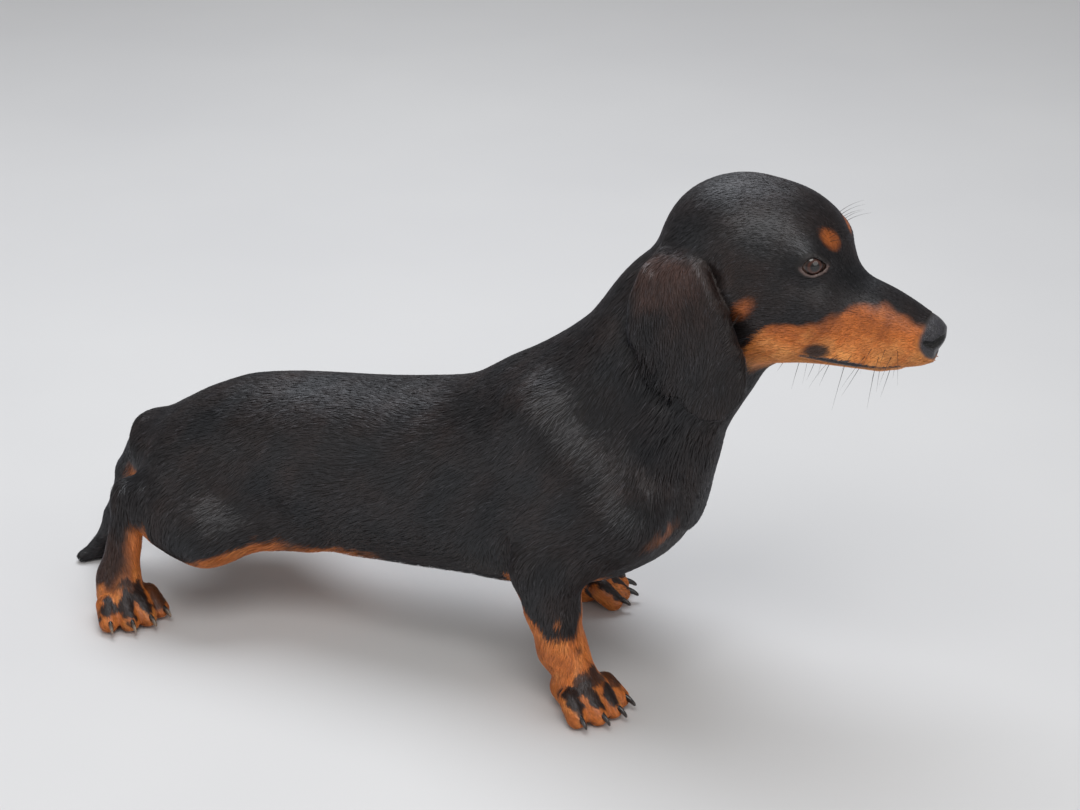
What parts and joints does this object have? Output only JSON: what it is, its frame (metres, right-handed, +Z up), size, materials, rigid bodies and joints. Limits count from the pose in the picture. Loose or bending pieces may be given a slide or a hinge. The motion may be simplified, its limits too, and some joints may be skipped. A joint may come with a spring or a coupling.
{
  "type": "miniature dachshund dog, smooth-haired, standing",
  "caption": "Life-size still model of a standing smooth-haired black and tan miniature dachshund, long low body, hanging ears, tail tip on the floor.",
  "frame": {"origin": "centre of the footprint box on the floor, under the dog", "axes": "+X towards the nose, +Y to the dog's left, +Z up"},
  "size_m": [0.4688, 0.158, 0.2662],
  "materials": {
    "black_coat": "short glossy black coat with a cool sheen where light falls from above, browner at ear folds",
    "tan_coat": "short rich tan coat, softer than the black",
    "nose_leather": "moist dark pebbled nose leather",
    "eye": "wet dark brown eye with black pupil",
    "claw_horn": "dark smooth horn"
  },
  "bodies": {
    "root": {"forepaw_right": "tan_coat", "forearm_right": "black_coat", "upper_arm_right": "black_coat", "forepaw_left": "tan_coat", "forearm_left": "black_coat", "upper_arm_left": "black_coat", "hindpaw_right": "tan_coat", "rear_pastern_right": "tan_coat", "lower_leg_right": "black_coat", "thigh_right": "black_coat", "hindpaw_left": "tan_coat", "rear_pastern_left": "tan_coat", "lower_leg_left": "black_coat", "thigh_left": "black_coat", "tail": "black_coat", "nose": "nose_leather", "lower_jaw": "tan_coat", "head": "black_coat", "neck": "black_coat", "trunk": "black_coat", "ear_right": "black_coat", "eye_right": "eye", "ear_left": "black_coat", "eye_left": "eye", "claw_fore_right_1": "claw_horn", "claw_fore_right_2": "claw_horn", "claw_fore_right_3": "claw_horn", "claw_fore_right_4": "claw_horn", "claw_fore_right_5": "claw_horn", "claw_fore_left_1": "claw_horn", "claw_fore_left_2": "claw_horn", "claw_fore_left_3": "claw_horn", "claw_fore_left_4": "claw_horn", "claw_fore_left_5": "claw_horn", "claw_hind_right_1": "claw_horn", "claw_hind_right_2": "claw_horn", "claw_hind_right_3": "claw_horn", "claw_hind_right_4": "claw_horn", "claw_hind_left_1": "claw_horn", "claw_hind_left_2": "claw_horn", "claw_hind_left_3": "claw_horn", "claw_hind_left_4": "claw_horn"}
  },
  "joints": []
}
